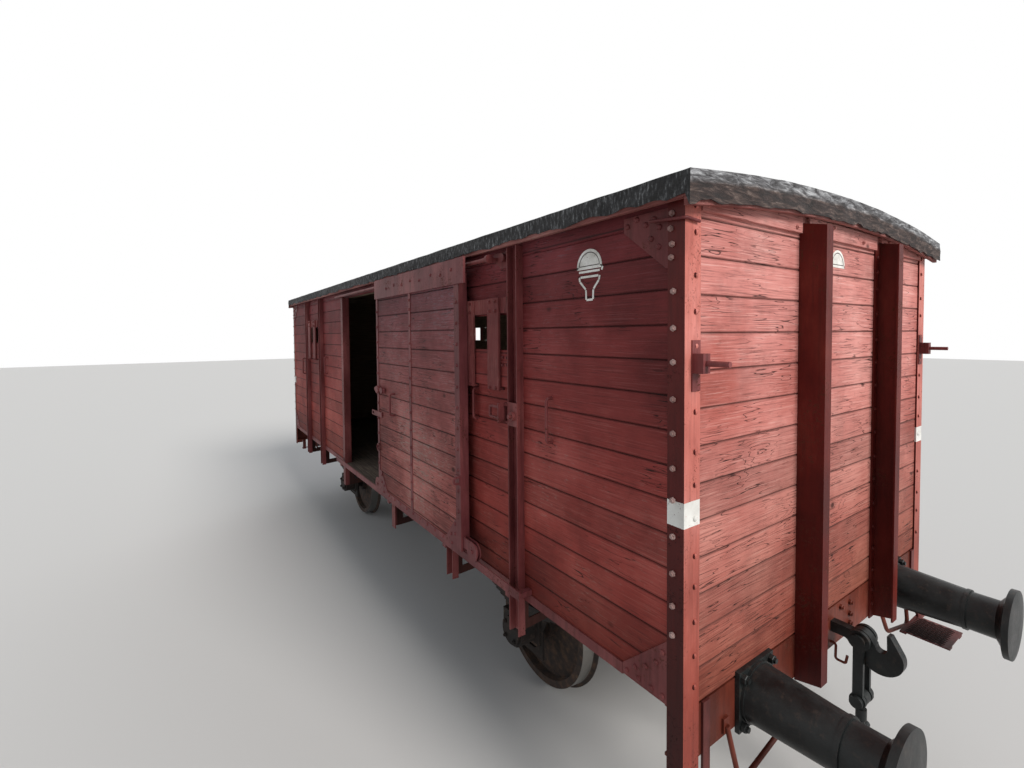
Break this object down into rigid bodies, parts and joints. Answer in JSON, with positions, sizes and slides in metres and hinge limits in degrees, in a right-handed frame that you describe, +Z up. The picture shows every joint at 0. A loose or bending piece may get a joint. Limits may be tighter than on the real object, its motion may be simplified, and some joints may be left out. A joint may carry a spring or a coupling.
{
  "type": "covered goods wagon",
  "caption": "Two-axle covered goods wagon with boarded timber walls in a steel frame, sliding side doors and a low arched roof.",
  "frame": {"origin": "centre of the wagon in plan, at the lowest point of the wheel flanges", "axes": "+X along the wagon to its front end, +Y across it to its left side, +Z up"},
  "size_m": [9.22, 3.19, 3.5179],
  "materials": {
    "wall_paint": "weathered satin paint on boards",
    "end_paint": "weathered satin paint on boards",
    "frame_paint": "weathered satin paint",
    "stanchion_paint": "weathered satin paint",
    "fitting_paint": "worn satin paint",
    "roof_felt": "weathered bitumen felt",
    "roof_timber": "painted timber",
    "floor_timber": "bare worn planks",
    "underframe": "dirty dark paint",
    "draw_gear": "oily black",
    "running_gear": "dusty black",
    "wheel_steel": "rusty sides and bright treads"
  },
  "bodies": {
    "wagon": {"side_boards_right": "wall_paint", "side_boards_left": "wall_paint", "end_boards_front": "end_paint", "end_boards_rear": "end_paint", "corner_posts": "frame_paint", "side_posts": "frame_paint", "door_posts": "frame_paint", "corner_gussets": "frame_paint", "end_stanchions": "stanchion_paint", "cantrails": "roof_timber", "roof_bows": "roof_timber", "roof_boards": "roof_timber", "roof_felt": "roof_felt", "roof_fascias": "wall_paint", "floor_planks": "floor_timber", "door_sills": "floor_timber", "sole_bars": "underframe", "headstocks": "frame_paint", "side_sills": "frame_paint", "cross_bearers": "underframe", "side_brackets": "frame_paint", "window_slats": "wall_paint", "door_rails": "fitting_paint", "door_guides": "fitting_paint", "lock_plates": "fitting_paint", "grab_handles": "fitting_paint", "lamp_brackets": "fitting_paint", "buffer_casings": "draw_gear", "buffer_plungers": "draw_gear", "draw_hooks": "draw_gear", "screw_couplings": "draw_gear", "buffer_grab_rods": "fitting_paint", "shunter_steps": "fitting_paint", "coupling_rests": "fitting_paint", "axle_guards": "running_gear", "axle_boxes": "running_gear", "leaf_springs": "running_gear", "spring_hangers": "running_gear"},
    "wheelset_front": {"axle_front": "running_gear", "wheels_front": "wheel_steel"},
    "wheelset_rear": {"axle_rear": "running_gear", "wheels_rear": "wheel_steel"},
    "door_right": {"door_boards_right": "wall_paint", "door_frame_right": "fitting_paint", "door_rollers_right": "fitting_paint", "door_latch_right": "fitting_paint"},
    "shutter_right_front": {"window_shutter_right_front": "wall_paint"},
    "shutter_right_rear": {"window_shutter_right_rear": "wall_paint"},
    "door_left": {"door_boards_left": "wall_paint", "door_frame_left": "fitting_paint", "door_rollers_left": "fitting_paint", "door_latch_left": "fitting_paint"},
    "shutter_left_front": {"window_shutter_left_front": "wall_paint"},
    "shutter_left_rear": {"window_shutter_left_rear": "wall_paint"}
  },
  "joints": [
    {"name": "wheelset_front_turn", "type": "hinge", "parent": "wagon", "child": "wheelset_front", "pos_m": [2.25, 0, 0.528], "axis": [0, 1, 0], "continuous": true},
    {"name": "wheelset_rear_turn", "type": "hinge", "parent": "wagon", "child": "wheelset_rear", "pos_m": [-2.25, 0, 0.528], "axis": [0, 1, 0], "continuous": true},
    {"name": "door_right_slide", "type": "slide", "parent": "wagon", "child": "door_right", "axis": [1, 0, 0], "range_m": [-1.465, 0.15]},
    {"name": "door_left_slide", "type": "slide", "parent": "wagon", "child": "door_left", "axis": [-1, 0, 0], "range_m": [0, 1.615]},
    {"name": "shutter_right_front_slide", "type": "slide", "parent": "wagon", "child": "shutter_right_front", "axis": [0, 0, 1], "range_m": [0, 0.229]},
    {"name": "shutter_right_rear_slide", "type": "slide", "parent": "wagon", "child": "shutter_right_rear", "axis": [0, 0, 1], "range_m": [0, 0.229]},
    {"name": "shutter_left_front_slide", "type": "slide", "parent": "wagon", "child": "shutter_left_front", "axis": [0, 0, 1], "range_m": [0, 0.229]},
    {"name": "shutter_left_rear_slide", "type": "slide", "parent": "wagon", "child": "shutter_left_rear", "axis": [0, 0, 1], "range_m": [0, 0.229]}
  ]
}
